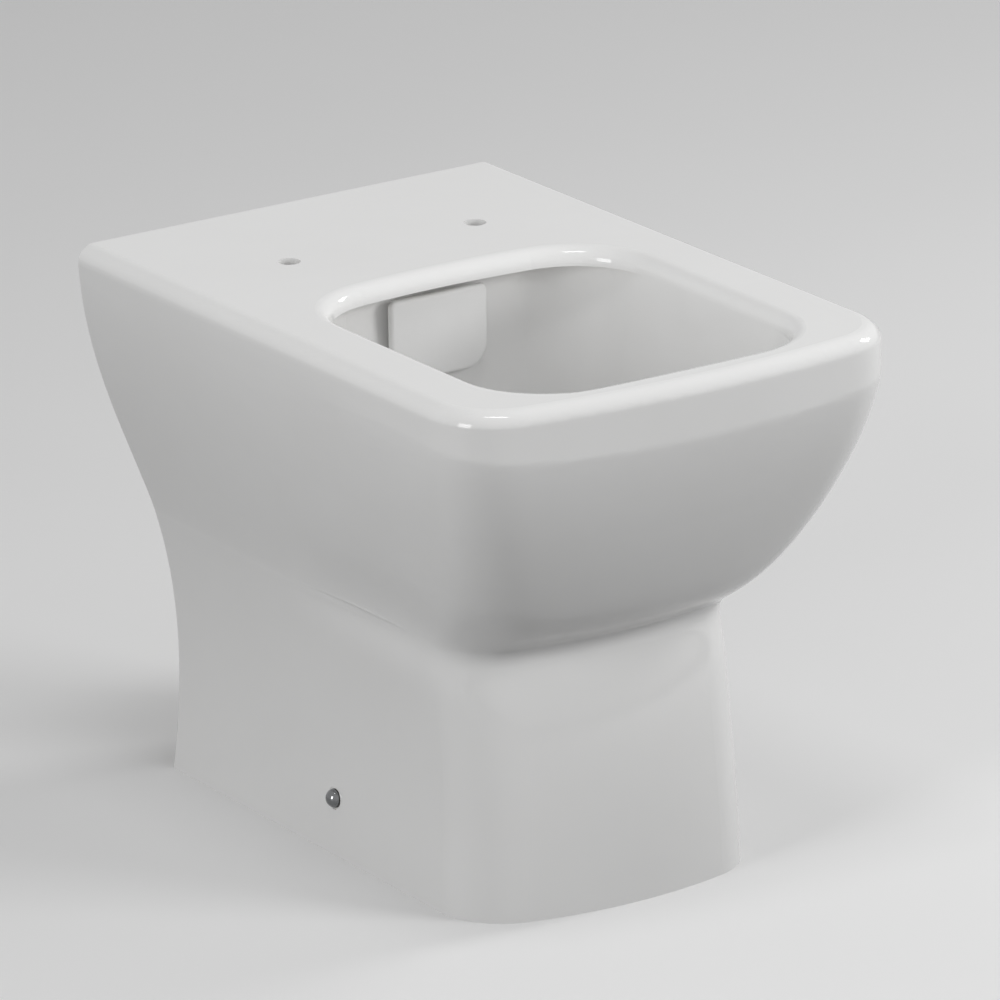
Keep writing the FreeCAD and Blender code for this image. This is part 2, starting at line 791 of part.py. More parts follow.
def make_bracket(side):
    """Moulded angle bracket that stands on the floor inside the foot and takes the side screw."""
    body = new_body(f"{side}_floor_bracket")
    back = "-(bracket_gap + bracket_thick)"
    floor = "-ankle_level"
    outline = new_sketch(body, f"{side}_bracket_outline", "XZ_Plane", "-bracket_half")
    polygon(outline, "corner", (
        ("-bracket_gap", floor),
        ("-bracket_gap", "bracket_over"),
        (back, "bracket_over"),
        (back, f"{floor} + bracket_floor"),
        (f"{back} - bracket_reach", f"{floor} + bracket_floor"),
        (f"{back} - bracket_reach", floor),
    ))
    pad(body, f"{side}_bracket_block", outline, "2 * bracket_half")
    clearance = "screw_length - 2 * flange_thick - bracket_gap + screw_end_room"
    for name, radius, depth in (("nut_seat", "nut_radius + thread_play", "nut_length"),
                                ("screw_way", "screw_radius + 2 * screw_play", clearance)):
        sketch = new_sketch(body, f"{side}_{name}_outline", "YZ_Plane", "-bracket_gap")
        circle(sketch, name, "0", "0", radius)
        pocket(body, f"{side}_{name}", sketch, depth)
    hole = new_sketch(body, f"{side}_floor_hole_outline", "XY_Plane", f"{floor} + bracket_floor")
    circle(hole, "hole", f"{back} - bracket_reach / 2", "0", "bracket_hole")
    pocket(body, f"{side}_floor_hole", hole, "bracket_floor + overcut")
    seat_on_side(body, side, FreeCAD.Vector(0, 0, 1), 0)
    return body


def make_cap(side):
    """Half-round chrome cover that snaps over the screw's head."""
    halves = []
    for name, radius in (("outside", "cap_radius"), ("inside", "cap_radius - cap_thick")):
        half = doc.addObject("Part::Sphere", f"{side}_cap_{name}")
        half.Angle1 = 0
        bind(half, "Radius", radius)
        halves.append(half)
    cap = doc.addObject("Part::Cut", f"{side}_screw_cap")
    cap.Label = f"{side}_screw_cap"
    cap.Base, cap.Tool = halves
    seat_on_side(cap, side, FreeCAD.Vector(0, 1, 0), 90, "cap_lift")
    return cap


def make_all():
    """Every piece of the assembly, in the order it would be put together."""
    pieces = [make_pan(), make_inlet_seal(), make_deflector(), make_ring()]
    for side in ("left", "right"):
        pieces.append(make_bracket(side))
        pieces.extend(make_turned_fixings(side))
        pieces.append(make_cap(side))
    doc.recompute()
    return pieces


def write_pieces(pieces):
    """Stop at anything that failed, then write one file for each piece."""
    failed = [item.Name for item in doc.Objects if {"Invalid", "Error"} & set(item.State)]
    failed += [piece.Label for piece in pieces if piece.Shape.isNull() or not piece.Shape.isValid()]
    if failed:
        raise RuntimeError("failed: " + ", ".join(failed))
    os.makedirs("parts", exist_ok=True)
    for piece in pieces:
        piece.Shape.exportStep(f"parts/{piece.Label}.step")
        print(piece.Label, len(piece.Shape.Solids), round(piece.Shape.Volume / 1000, 2), "cubic centimetres")


fill_sheet()
write_pieces(make_all())
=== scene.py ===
"""Looks of a floor-standing toilet pan.

Its glaze, raw clay, plastics, rubber and metals, on a plain stage with a camera.
"""
import math

import bmesh
import bpy
import numpy as np
from bpy.props import FloatProperty, FloatVectorProperty, PointerProperty
from mathutils import Matrix, Vector
from mathutils.bvhtree import BVHTree


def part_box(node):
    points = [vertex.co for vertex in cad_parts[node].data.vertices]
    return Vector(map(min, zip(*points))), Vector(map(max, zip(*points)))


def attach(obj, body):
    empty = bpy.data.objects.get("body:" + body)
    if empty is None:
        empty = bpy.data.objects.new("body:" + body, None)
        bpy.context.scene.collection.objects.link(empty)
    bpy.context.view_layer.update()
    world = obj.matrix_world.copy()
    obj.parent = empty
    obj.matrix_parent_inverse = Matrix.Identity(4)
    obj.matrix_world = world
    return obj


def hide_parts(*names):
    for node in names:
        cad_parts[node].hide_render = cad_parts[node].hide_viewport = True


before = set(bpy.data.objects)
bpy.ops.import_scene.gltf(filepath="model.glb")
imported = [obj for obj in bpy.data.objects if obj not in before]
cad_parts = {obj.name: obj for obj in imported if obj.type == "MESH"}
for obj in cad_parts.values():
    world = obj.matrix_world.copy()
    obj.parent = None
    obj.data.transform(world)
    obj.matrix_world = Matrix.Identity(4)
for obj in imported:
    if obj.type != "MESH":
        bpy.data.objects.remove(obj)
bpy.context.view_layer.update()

bl_info = {
    "name": "Toilet pan looks",
    "version": (1, 0, 0),
    "blender": (4, 5, 0),
    "location": "3D View > Sidebar > Pan",
    "description": "Finishes the pieces of a back-to-wall toilet pan and sets its stage",
    "category": "Object",
}

SIDES = ("left", "right")
# Points closer than this, in metres, are one point.
SAME_POINT = 1e-6
# The pan's outer skin is measured outwards from an upright line on the middle plane, at this place along Y.
SKIN_MIDDLE = 0.10
# Level on the rounded rim edge where the band under the rim starts.
BAND_TOP = 0.391
# The middle of the bowl along Y.
BOWL_MIDDLE = -0.06
# The point that the lamps face.
PAN_HEART = (0.0, 0.0, 0.2)
# Turns from the front, and levels, at which the outer skin is measured.
SKIN_TURNS = np.radians(np.linspace(-125.0, 125.0, 201))
SKIN_LEVELS = np.linspace(0.11, 0.3935, 190)
# How far a point may lie off the measured skin and still belong to it.
SKIN_DEPTH = 0.006

# Each soft form fades: where along Y it has died out towards the wall, and the length over which it sets in.
FORMS_FADE = (0.17, 0.12)
VALLEY_FADE = (0.11, 0.20)
BAND_FADE = (0.04, 0.24)
# Degrees from the front at which the wide rounding and the valley start, and the degrees they take to set in.
WIDE_ROUNDING_TURN = (14.0, 16.0)
VALLEY_TURN = (16.0, 16.0)
# Distance from the waist up to which the fold is rounded, or the normals are made anew, and its run-out.
ROUNDING_SPAN = (0.018, 0.030)
NORMALS_SPAN = (0.045, 0.030)
# Width of the valley above and below the waist.
VALLEY_ABOVE = 0.042
VALLEY_BELOW = 0.022
# Between these levels the bowl's normals are made anew: the level, and the length over which that sets in.
NORMALS_TOP = (0.3925, 0.005)
NORMALS_BOTTOM = (0.235, 0.02)
# Reach of the rounding along the band's edge.
BAND_ROUNDING = 0.008

# The bowl's glazed inside: half its width at the sump, the half width's growth with height, the sump's level.
SUMP_HALF = 0.066
BOWL_FLARE = 0.27
SUMP_LEVEL = 0.085
# The bowl ends, along Y, before this place.
BOWL_BACK = 0.10
# Depth behind the skin up to which faces that look outwards are glazed.
GLAZE_DEPTH = 0.008
# Above this level lie the deck and the rim.
DECK_LEVEL = 0.38
# Faces that look to the wall are raw beyond this place along Y and below this level.
RAW_BACK = 0.06
RAW_BACK_TOP = 0.385
# Faces that look down are raw up to this level.
SOLE_LEVEL = 0.0015
# Part of a normal along an axis past which a face leans that way, or faces it.
LEANING = 0.3
FACING = 0.5

# Rows cut into the pan's copy, from the waist's level, then up the belly, then from below the band's edge.
WAIST_ROWS = np.arange(-0.036, 0.0401, 0.004)
BELLY_START = 0.240
BELLY_STEP = 0.012
BAND_LEAD = 0.016
BAND_STEP = 0.003

# The lamps: place and size in metres, fan of light in degrees, and whether the lamp shows in the glaze.
LAMPS = {
    "front": ((1.9, -2.4, 1.5), (1.2, 1.0), 180.0, False),
    "left": ((-2.8, -0.7, 0.95), (0.9, 1.5), 95.0, True),
    "right": ((2.6, -0.2, 1.7), (0.5, 0.8), 180.0, True),
    "glint": ((-0.45, -0.7, 2.9), (0.9, 0.35), 180.0, True),
}
# The grey that the sky shows to the camera and in reflections.
SKY_SHOWN = 0.72
# Half the side of the square floor.
FLOOR_HALF = 30.0


class PanFormSettings(bpy.types.PropertyGroup):
    """Soft forms on the outside of the pan."""
    rim_band: FloatProperty(
        name="Rim band", description="How far the band under the rim stands out at its lower edge",
        subtype="DISTANCE", unit="LENGTH", min=0.0, max=0.006, precision=4, default=0.0032)
    band_edge: FloatProperty(
        name="Band edge", description="Level of the lower edge of the band under the rim", subtype="DISTANCE",
        unit="LENGTH", precision=4, default=0.366)
    band_end: FloatProperty(
        name="Band end", description="Level on the bowl where the band has run out", subtype="DISTANCE",
        unit="LENGTH", precision=4, default=0.290)
    waist_level: FloatProperty(
        name="Waist level", description="Level of the fold between the bowl and the foot", subtype="DISTANCE",
        unit="LENGTH", precision=4, default=0.192)
    waist_round: FloatProperty(
        name="Waist rounding in front", description="Reach of the rounding of the fold in front",
        subtype="DISTANCE", unit="LENGTH", precision=4, default=0.0075)
    flank_round: FloatProperty(
        name="Waist rounding at the corners", description="Reach of the rounding of the fold at the corners",
        subtype="DISTANCE", unit="LENGTH", precision=4, default=0.015)
    flank_valley: FloatProperty(
        name="Flank valley", description="Depth of the valley that carries the fold on along the flanks",
        subtype="DISTANCE", unit="LENGTH", min=0.0, max=0.015, precision=4, default=0.010)


class PanGlazeSettings(bpy.types.PropertyGroup):
    """Colours and surface of the fired pan."""
    colour: FloatVectorProperty(
        name="Glaze colour", description="Colour of the white glaze", subtype="COLOR",
        size=3, min=0.0, max=1.0, default=(0.89, 0.89, 0.885))
    thin_colour: FloatVectorProperty(
        name="Thin glaze colour", description="Colour where the glaze lies thin", subtype="COLOR",
        size=3, min=0.0, max=1.0, default=(0.875, 0.873, 0.867))
    raw_colour: FloatVectorProperty(
        name="Raw clay colour", description="Colour of the unglazed fired clay", subtype="COLOR",
        size=3, min=0.0, max=1.0, default=(0.74, 0.71, 0.65))
    ripple: FloatProperty(
        name="Glaze ripple", description="Height of the slow waves in the glaze", subtype="DISTANCE",
        unit="LENGTH", min=0.0, max=0.002, precision=5, default=0.00012)


class PanFittingSettings(bpy.types.PropertyGroup):
    """Colours of the plastic, rubber and metal fittings, and the deflector's soft edges."""
    plate_corner: FloatProperty(
        name="Plate corner", description="Rounding of the deflector plate's upper corners",
        subtype="DISTANCE", unit="LENGTH", min=0.0005, max=0.015, precision=4, default=0.005)
    plate_edge: FloatProperty(
        name="Plate edge", description="Rounding of the edge round the deflector plate's front",
        subtype="DISTANCE", unit="LENGTH", min=0.0005, max=0.004, precision=4, default=0.0028)
    plastic: FloatVectorProperty(
        name="Deflector plastic", description="Colour of the flush deflector", subtype="COLOR",
        size=3, min=0.0, max=1.0, default=(0.85, 0.85, 0.845))
    nylon: FloatVectorProperty(
        name="Nylon", description="Colour of the brackets, bushes and retainers", subtype="COLOR",
        size=3, min=0.0, max=1.0, default=(0.72, 0.71, 0.67))
    rubber: FloatVectorProperty(
        name="Rubber", description="Colour of the seals", subtype="COLOR",
        size=3, min=0.0, max=1.0, default=(0.018, 0.018, 0.019))
    steel: FloatVectorProperty(
        name="Steel", description="Colour of the side screws", subtype="COLOR",
        size=3, min=0.0, max=1.0, default=(0.56, 0.56, 0.57))
    brass: FloatVectorProperty(
        name="Brass", description="Colour of the threaded inserts", subtype="COLOR",
        size=3, min=0.0, max=1.0, default=(0.72, 0.52, 0.22))
    # The caps' colour is darker than chrome's own: painted dark reflections, standing in for dim surroundings
    # mirrored in the caps.
    chrome: FloatVectorProperty(
        name="Chrome", description="Colour of the screw caps", subtype="COLOR",
        size=3, min=0.0, max=1.0, default=(0.24, 0.245, 0.25))


class PanStageSettings(bpy.types.PropertyGroup):
    """Floor, light and camera."""
    floor_colour: FloatVectorProperty(
        name="Floor colour", description="Colour of the plain floor", subtype="COLOR",
        size=3, min=0.0, max=1.0, default=(0.88, 0.88, 0.88))
    floor_return: FloatVectorProperty(
        name="Floor return", description="Share of light that the floor throws back on the pan",
        subtype="COLOR", size=3, min=0.0, max=1.0, default=(0.16, 0.16, 0.16))
    sky_light: FloatProperty(
        name="Sky light", description="Strength of the soft light from all round",
        min=0.0, max=2.0, default=0.40)
    front_power: FloatProperty(
        name="Front lamp", description="Power of the soft lamp in front, on the right", subtype="POWER",
        unit="POWER", min=0.0, max=500.0, default=35.0)
    left_power: FloatProperty(
        name="Left lamp", description="Power of the soft lamp on the left", subtype="POWER",
        unit="POWER", min=0.0, max=500.0, default=7.6)
    right_power: FloatProperty(
        name="Right lamp", description="Power of the soft lamp on the right", subtype="POWER",
        unit="POWER", min=0.0, max=500.0, default=18.0)
    glint_power: FloatProperty(
        name="Glint lamp", description="Power of the lamp overhead that glints in the glaze",
        subtype="POWER", unit="POWER", min=0.0, max=500.0, default=9.0)
    lens: FloatProperty(
        name="Lens", description="Focal length of the camera", subtype="DISTANCE_CAMERA",
        unit="CAMERA", min=10.0, max=1000.0, default=432.0)
    aim: FloatVectorProperty(
        name="Aim", description="Point that the camera looks at", subtype="TRANSLATION",
        unit="LENGTH", size=3, default=(0.08143, 0.11573, 0.2))
    distance: FloatProperty(
        name="Distance", description="From the camera to the aim", subtype="DISTANCE",
        unit="LENGTH", min=0.5, default=8.445)
    turn: FloatProperty(
        name="Turn", description="How far the camera stands to the left of the front", subtype="ANGLE",
        unit="ROTATION", default=math.radians(33.7))
    rise: FloatProperty(
        name="Rise", description="How far the camera looks down", subtype="ANGLE",
        unit="ROTATION", default=math.radians(18.29))
    roll: FloatProperty(
        name="Roll", description="Turn of the picture about the line of sight", subtype="ANGLE",
        unit="ROTATION", default=math.radians(-0.88))


def new_material(name):
    """An empty node material with its surface shader and output joined."""
    material = bpy.data.materials.new(name)
    material.use_nodes = True
    nodes = material.node_tree.nodes
    shader = nodes["Principled BSDF"]
    return material, nodes, material.node_tree.links, shader


def noise(nodes, links, scale, detail=2.0, stretch=(1.0, 1.0, 1.0)):
    """A noise pattern on the object's own coordinates, scale waves to the metre."""
    place = nodes.new("ShaderNodeTexCoord")
    mapping = nodes.new("ShaderNodeMapping")
    mapping.inputs["Scale"].default_value = stretch
    pattern = nodes.new("ShaderNodeTexNoise")
    pattern.inputs["Scale"].default_value = scale
    pattern.inputs["Detail"].default_value = detail
    links.new(place.outputs["Object"], mapping.inputs["Vector"])
    links.new(mapping.outputs["Vector"], pattern.inputs["Vector"])
    return pattern.outputs["Fac"]


def spread(nodes, links, source, low, high, start=0.35, end=0.65):
    """Carries a pattern's middle range to the numbers low to high."""
    node = nodes.new("ShaderNodeMapRange")
    for socket, value in (("From Min", start), ("From Max", end), ("To Min", low), ("To Max", high)):
        node.inputs[socket].default_value = value
    links.new(source, node.inputs["Value"])
    return node.outputs["Result"]


def two_tone(nodes, links, source, first, second):
    """Mixes two colours by a pattern."""
    node = nodes.new("ShaderNodeMix")
    node.data_type = "RGBA"
    links.new(source, node.inputs["Factor"])
    for socket, value in (("A", first), ("B", second)):
        colours = [item for item in node.inputs if item.name == socket and item.type == "RGBA"]
        if hasattr(value, "is_linked"):
            links.new(value, colours[0])
        else:
            colours[0].default_value = (*value, 1.0)
    return [item for item in node.outputs if item.type == "RGBA"][0]


def blended(nodes, links, share, first, second):
    """A number that goes from the first to the second, a plain one, with the share."""
    node = nodes.new("ShaderNodeMix")
    links.new(share, node.inputs["Factor"])
    links.new(first, node.inputs["A"])
    node.inputs["B"].default_value = second
    return node.outputs["Result"]


def relief(nodes, links, source, depth, under=None):
    """Bump of the given depth in metres from a pattern, over an earlier bump if there is one."""
    node = nodes.new("ShaderNodeBump")
    node.inputs["Strength"].default_value = 1.0
    node.inputs["Distance"].default_value = depth
    links.new(source, node.inputs["Height"])
    if under is not None:
        links.new(under, node.inputs["Normal"])
    return node.outputs["Normal"]


def glaze_material(settings):
    """White glaze with slow waves, fine orange peel and thinner patches, and rough specked clay where raw."""
    material, nodes, links, shader = new_material("white_glaze")
    raw = nodes.new("ShaderNodeAttribute")
    raw.attribute_name = "raw_clay"
    patches = spread(nodes, links, noise(nodes, links, scale=9.0, detail=3.0), 0.0, 1.0, start=0.3, end=0.7)
    glaze = two_tone(nodes, links, patches, settings.colour, settings.thin_colour)
    specks = noise(nodes, links, scale=700.0, detail=4.0)
    specks = spread(nodes, links, specks, 0.0, 1.0, start=0.55, end=0.75)
    speck_shade = 0.82
    darker = tuple(speck_shade * part for part in settings.raw_colour)
    clay = two_tone(nodes, links, specks, settings.raw_colour, darker)
    links.new(two_tone(nodes, links, raw.outputs["Fac"], glaze, clay), shader.inputs["Base Color"])
    gloss = spread(nodes, links, noise(nodes, links, scale=25.0), low=0.06, high=0.11)
    clay_rough = 0.78
    links.new(blended(nodes, links, raw.outputs["Fac"], gloss, clay_rough), shader.inputs["Roughness"])
    waves = relief(nodes, links, noise(nodes, links, scale=28.0, detail=1.0), settings.ripple)
    peel_depth = settings.ripple * 0.03
    peel = relief(nodes, links, noise(nodes, links, scale=420.0, detail=1.0), peel_depth, waves)
    links.new(peel, shader.inputs["Normal"])
    return material


def moulded_material(name, colour, rough, grain, uneven=0.07):
    """Moulded plastic or rubber: clouding and gloss as uneven as given, and a grain of the given depth."""
    material, nodes, links, shader = new_material(name)
    darker = tuple((1.0 - uneven) * part for part in colour)
    clouds = spread(nodes, links, noise(nodes, links, scale=45.0, detail=3.0), 0.0, 1.0)
    links.new(two_tone(nodes, links, clouds, colour, darker), shader.inputs["Base Color"])
    smoothest = rough * (1.0 - 2.0 * uneven)
    roughest = rough * (1.0 + 2.0 * uneven)
    gloss = spread(nodes, links, noise(nodes, links, scale=160.0), smoothest, roughest)
    links.new(gloss, shader.inputs["Roughness"])
    links.new(relief(nodes, links, noise(nodes, links, scale=1800.0), grain), shader.inputs["Normal"])
    return material


def metal_material(name, colour, rough, stretch):
    """Metal with fine tool marks: a noise drawn out along one way sets gloss and relief."""
    material, nodes, links, shader = new_material(name)
    marks = noise(nodes, links, scale=900.0, detail=3.0, stretch=stretch)
    mark_depth = 0.000004
    cloud_shade = 0.9
    darker = tuple(cloud_shade * part for part in colour)
    clouds = spread(nodes, links, noise(nodes, links, scale=120.0), 0.0, 1.0)
    links.new(two_tone(nodes, links, clouds, colour, darker), shader.inputs["Base Color"])
    links.new(spread(nodes, links, marks, rough * 0.7, rough * 1.3), shader.inputs["Roughness"])
    links.new(relief(nodes, links, marks, mark_depth), shader.inputs["Normal"])
    shader.inputs["Metallic"].default_value = 1.0
    return material


def dress(node, material):
    """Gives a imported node's object one material in each of its slots."""
    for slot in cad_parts[node].material_slots:
        slot.material = material


def smooth_rise(share):
    """Rises from 0 to 1 with the share, level at both ends: three times its square less twice its cube."""
    share = np.clip(share, 0.0, 1.0)
    return share * share * (3.0 - 2.0 * share)


def cut_levels(settings):
    """Levels at which the pan's copy is cut, so that its soft forms have rows enough to follow."""
    waist = settings.waist_level + WAIST_ROWS
    under_band = settings.band_edge - BAND_LEAD
    belly = np.arange(BELLY_START, under_band, BELLY_STEP)
    band = np.arange(under_band, BAND_TOP, BAND_STEP)
    return np.concatenate([waist, belly, band])


def joined_copy(node, levels=()):
    """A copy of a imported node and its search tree.

    The loose triangles are joined and cut at the levels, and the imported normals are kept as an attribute.
    """
    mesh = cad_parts[node].data.copy()
    normals = np.empty(len(mesh.loops) * 3)
    mesh.corner_normals.foreach_get("vector", normals)
    kept = mesh.attributes.new("packed_normal", "FLOAT_VECTOR", "CORNER")
    kept.data.foreach_set("vector", normals)
    work = bmesh.new()
    work.from_mesh(mesh)
    bmesh.ops.remove_doubles(work, verts=work.verts, dist=SAME_POINT)
    for level in levels:
        everything = work.verts[:] + work.edges[:] + work.faces[:]
        bmesh.ops.bisect_plane(work, geom=everything, dist=SAME_POINT,
                               plane_co=(0, 0, level), plane_no=(0, 0, 1))
    tree = BVHTree.FromBMesh(work)
    work.to_mesh(mesh)
    work.free()
    return mesh, tree


def numbers_of(items, key, width):
    """One value of each item of a mesh as an array, as many rows as items."""
    values = np.empty(len(items) * width)
    items.foreach_get(key, values)
    return values.reshape(-1, width)


def finish_normals(mesh):
    """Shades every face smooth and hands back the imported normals, which the mesh then no longer holds."""
    packed = numbers_of(mesh.attributes["packed_normal"].data, "vector", 3)
    mesh.attributes.remove(mesh.attributes["packed_normal"])
    mesh.polygons.foreach_set("use_smooth", np.ones(len(mesh.polygons), dtype=bool))
    return packed


def skin_reach(tree):
    """Distance of the outer skin from the upright line, over turns and levels, found by looking inwards."""
    ways = [Vector((math.sin(turn), -math.cos(turn), 0.0)) for turn in SKIN_TURNS]
    far = 1.0
    return np.array([[far - tree.ray_cast(way * far + Vector((0.0, SKIN_MIDDLE, level)), -way)[3]
                      for level in SKIN_LEVELS] for way in ways])


def rounded_along_levels(reach, spread_out):
    """The reach averaged over neighbouring levels, with weights that fall off as a bell of that width."""
    apart = (SKIN_LEVELS[:, None] - SKIN_LEVELS) / spread_out
    weights = np.exp(-0.5 * apart ** 2)
    return reach @ (weights / weights.sum(axis=1, keepdims=True)).T


def band_ridge(settings):
    """How far the band stands out at each level: a ridge that climbs under the rim and runs out slowly."""
    rise = (BAND_TOP - SKIN_LEVELS) / (BAND_TOP - settings.band_edge)
    fall = (SKIN_LEVELS - settings.band_end) / (settings.band_edge - settings.band_end)
    ridge = np.clip(np.minimum(rise, fall), 0.0, 1.0)
    return rounded_along_levels(settings.rim_band * ridge, BAND_ROUNDING)


def formed_reach(reach, settings):
    """The reach with a rounded waist, a valley along the flanks and a band under the rim.

    The rounding widens from the front towards the corners, where the valley, a bell over the levels, sets in.
    Valley and band fade towards the wall, and nothing passes the widest reach of each turn. The second array
    is the share, at each point, in which the normals are made anew from the formed skin.
    """
    along = SKIN_MIDDLE - reach * np.cos(SKIN_TURNS)[:, None]
    turned = np.degrees(np.abs(SKIN_TURNS))[:, None]
    off_wall = smooth_rise((FORMS_FADE[0] - along) / FORMS_FADE[1])
    corner = smooth_rise((turned - WIDE_ROUNDING_TURN[0]) / WIDE_ROUNDING_TURN[1])
    soft = (1.0 - corner) * rounded_along_levels(reach, settings.waist_round)
    soft = soft + corner * rounded_along_levels(reach, settings.flank_round)
    from_waist = np.abs(SKIN_LEVELS - settings.waist_level)
    near_waist = 1.0 - smooth_rise((from_waist - ROUNDING_SPAN[0]) / ROUNDING_SPAN[1])
    width = np.where(SKIN_LEVELS > settings.waist_level, VALLEY_ABOVE, VALLEY_BELOW)
    valley = np.exp(-(from_waist / width) ** 2) * smooth_rise((turned - VALLEY_TURN[0]) / VALLEY_TURN[1])
    valley = valley * smooth_rise((VALLEY_FADE[0] - along) / VALLEY_FADE[1])
    forward = smooth_rise((BAND_FADE[0] - along) / BAND_FADE[1])
    formed = reach + off_wall * near_waist * (soft - reach)
    formed = formed - settings.flank_valley * valley + forward * band_ridge(settings)
    at_waist = 1.0 - smooth_rise((from_waist - NORMALS_SPAN[0]) / NORMALS_SPAN[1])
    on_bowl = smooth_rise((NORMALS_TOP[0] - SKIN_LEVELS) / NORMALS_TOP[1])
    on_bowl = on_bowl * smooth_rise((SKIN_LEVELS - NORMALS_BOTTOM[0]) / NORMALS_BOTTOM[1])
    held = off_wall * np.maximum(at_waist, on_bowl)
    return np.minimum(formed, reach.max(axis=1, keepdims=True)), held


def skin_normals(reach):
    """Outward directions of the skin: the cross product of its slopes along turns and along levels."""
    turns = SKIN_TURNS[:, None]
    points = np.stack([reach * np.sin(turns), SKIN_MIDDLE - reach * np.cos(turns),
                       np.broadcast_to(SKIN_LEVELS, reach.shape)], axis=-1)
    across = np.gradient(points, axis=0)
    upward = np.gradient(points, axis=1)
    normals = np.cross(across, upward)
    return normals / np.linalg.norm(normals, axis=-1, keepdims=True)


def on_skin(grid, turn, level):
    """A grid's values at scattered turns and levels, mixed from the four grid points round each."""
    column = (turn - SKIN_TURNS[0]) / (SKIN_TURNS[1] - SKIN_TURNS[0])
    row = (level - SKIN_LEVELS[0]) / (SKIN_LEVELS[1] - SKIN_LEVELS[0])
    left = np.clip(np.floor(column).astype(int), 0, len(SKIN_TURNS) - 2)
    low = np.clip(np.floor(row).astype(int), 0, len(SKIN_LEVELS) - 2)
    shape = (-1,) + (1,) * (grid.ndim - 2)
    side = np.clip(column - left, 0.0, 1.0).reshape(shape)
    rise = np.clip(row - low, 0.0, 1.0).reshape(shape)
    lower = (1.0 - side) * grid[left, low] + side * grid[left + 1, low]
    upper = (1.0 - side) * grid[left, low + 1] + side * grid[left + 1, low + 1]
    return (1.0 - rise) * lower + rise * upper


def form_pan(settings):
    """The pan's mesh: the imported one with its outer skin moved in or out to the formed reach."""
    mesh, tree = joined_copy("ceramic_pan", cut_levels(settings))
    reach = skin_reach(tree)
    formed, held = formed_reach(reach, settings)
    points = numbers_of(mesh.vertices, "co", 3)
    corners = numbers_of(mesh.loops, "vertex_index", 1).astype(int).ravel()
    packed = finish_normals(mesh)
    flat = points[:, :2] - (0.0, SKIN_MIDDLE)
    distance = np.linalg.norm(flat, axis=1)
    turn = np.arctan2(flat[:, 0], -flat[:, 1])
    level = points[:, 2]
    sunk = on_skin(reach, turn, level) - distance
    measured = (np.abs(turn) < SKIN_TURNS[-1]) & (level > SKIN_LEVELS[0]) & (level < SKIN_LEVELS[-1])
    skin = measured & (np.abs(sunk) < SKIN_DEPTH)
    shift = np.where(skin, on_skin(formed - reach, turn, level), 0.0)
    outward = flat / np.maximum(distance, 1e-9)[:, None]
    points[:, :2] += outward * shift[:, None]
    mesh.vertices.foreach_set("co", points.ravel())
    weight = np.where(skin, on_skin(held, turn, level), 0.0)[corners, None]
    normals = (1.0 - weight) * packed + weight * on_skin(skin_normals(formed), turn, level)[corners]
    normals = normals / np.linalg.norm(normals, axis=1, keepdims=True)
    mark_raw_clay(mesh, points[corners], packed, outward[corners], sunk[corners])
    mesh.update()
    mesh.normals_split_custom_set(normals)
    return mesh


def mark_raw_clay(mesh, points, normals, outward, sunk):
    """Marks the corners in the hollow, under the foot and at the wall, where the clay has no glaze.

    Glazed corners face outwards close to the outer skin, face the middle of the bowl from within its flaring
    walls, or lie on the deck and rim.
    """
    skin = (np.sum(normals[:, :2] * outward, axis=1) > 0.0) & (sunk < GLAZE_DEPTH)
    from_bowl = points[:, :2] - (0.0, BOWL_MIDDLE)
    bowl_half = SUMP_HALF + BOWL_FLARE * (points[:, 2] - SUMP_LEVEL)
    bowl = (np.sum(normals[:, :2] * from_bowl, axis=1) < 0.0) | (normals[:, 2] > LEANING)
    bowl &= (np.abs(points[:, 0]) < bowl_half) & (points[:, 1] < BOWL_BACK)
    deck = (points[:, 2] > DECK_LEVEL) & (normals[:, 2] > -LEANING)
    at_wall = (normals[:, 1] > FACING) & (points[:, 1] > RAW_BACK) & (points[:, 2] < RAW_BACK_TOP)
    sole = (points[:, 2] < SOLE_LEVEL) & (normals[:, 2] < -FACING)
    raw = ~(skin | bowl | deck) | at_wall | sole
    mark = mesh.attributes.new("raw_clay", "FLOAT", "CORNER")
    mark.data.foreach_set("value", raw.astype(np.float32))


def soften_deflector(settings):
    """The deflector's mesh with round upper corners on its plate and soft edges round the plate's front."""
    mesh, _ = joined_copy("flush_deflector")
    low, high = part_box("flush_deflector")
    front, top = low[1], high[2]
    near = 1e-5
    sharp = 1.0
    work = bmesh.new()
    work.from_mesh(mesh)
    bmesh.ops.dissolve_limit(work, angle_limit=math.radians(1.0), verts=work.verts[:], edges=work.edges[:])
    upper = [edge for edge in work.edges if edge.calc_face_angle(0.0) > sharp
             and all(abs(vert.co.z - top) < near for vert in edge.verts)
             and abs(edge.verts[0].co.x - edge.verts[1].co.x) < near]
    bmesh.ops.bevel(work, geom=upper, offset=settings.plate_corner, segments=8, profile=0.5, affect="EDGES")
    rim = [edge for edge in work.edges if edge.calc_face_angle(0.0) > sharp
           and all(abs(vert.co.y - front) < near for vert in edge.verts)]
    bmesh.ops.bevel(work, geom=rim, offset=settings.plate_edge, segments=5, profile=0.5, affect="EDGES")
    work.to_mesh(mesh)
    work.free()
    finish_normals(mesh)
    mesh.set_sharp_from_angle(angle=math.radians(35.0))
    return mesh


def closed_cap(node):
    """A cap's mesh with its packed normals, closed by taking out its needle-thin triangles."""
    mesh, _ = joined_copy(node)
    work = bmesh.new()
    work.from_mesh(mesh)
    bmesh.ops.dissolve_degenerate(work, dist=SAME_POINT, edges=work.edges[:])
    work.to_mesh(mesh)
    work.free()
    mesh.normals_split_custom_set(finish_normals(mesh))
    return mesh


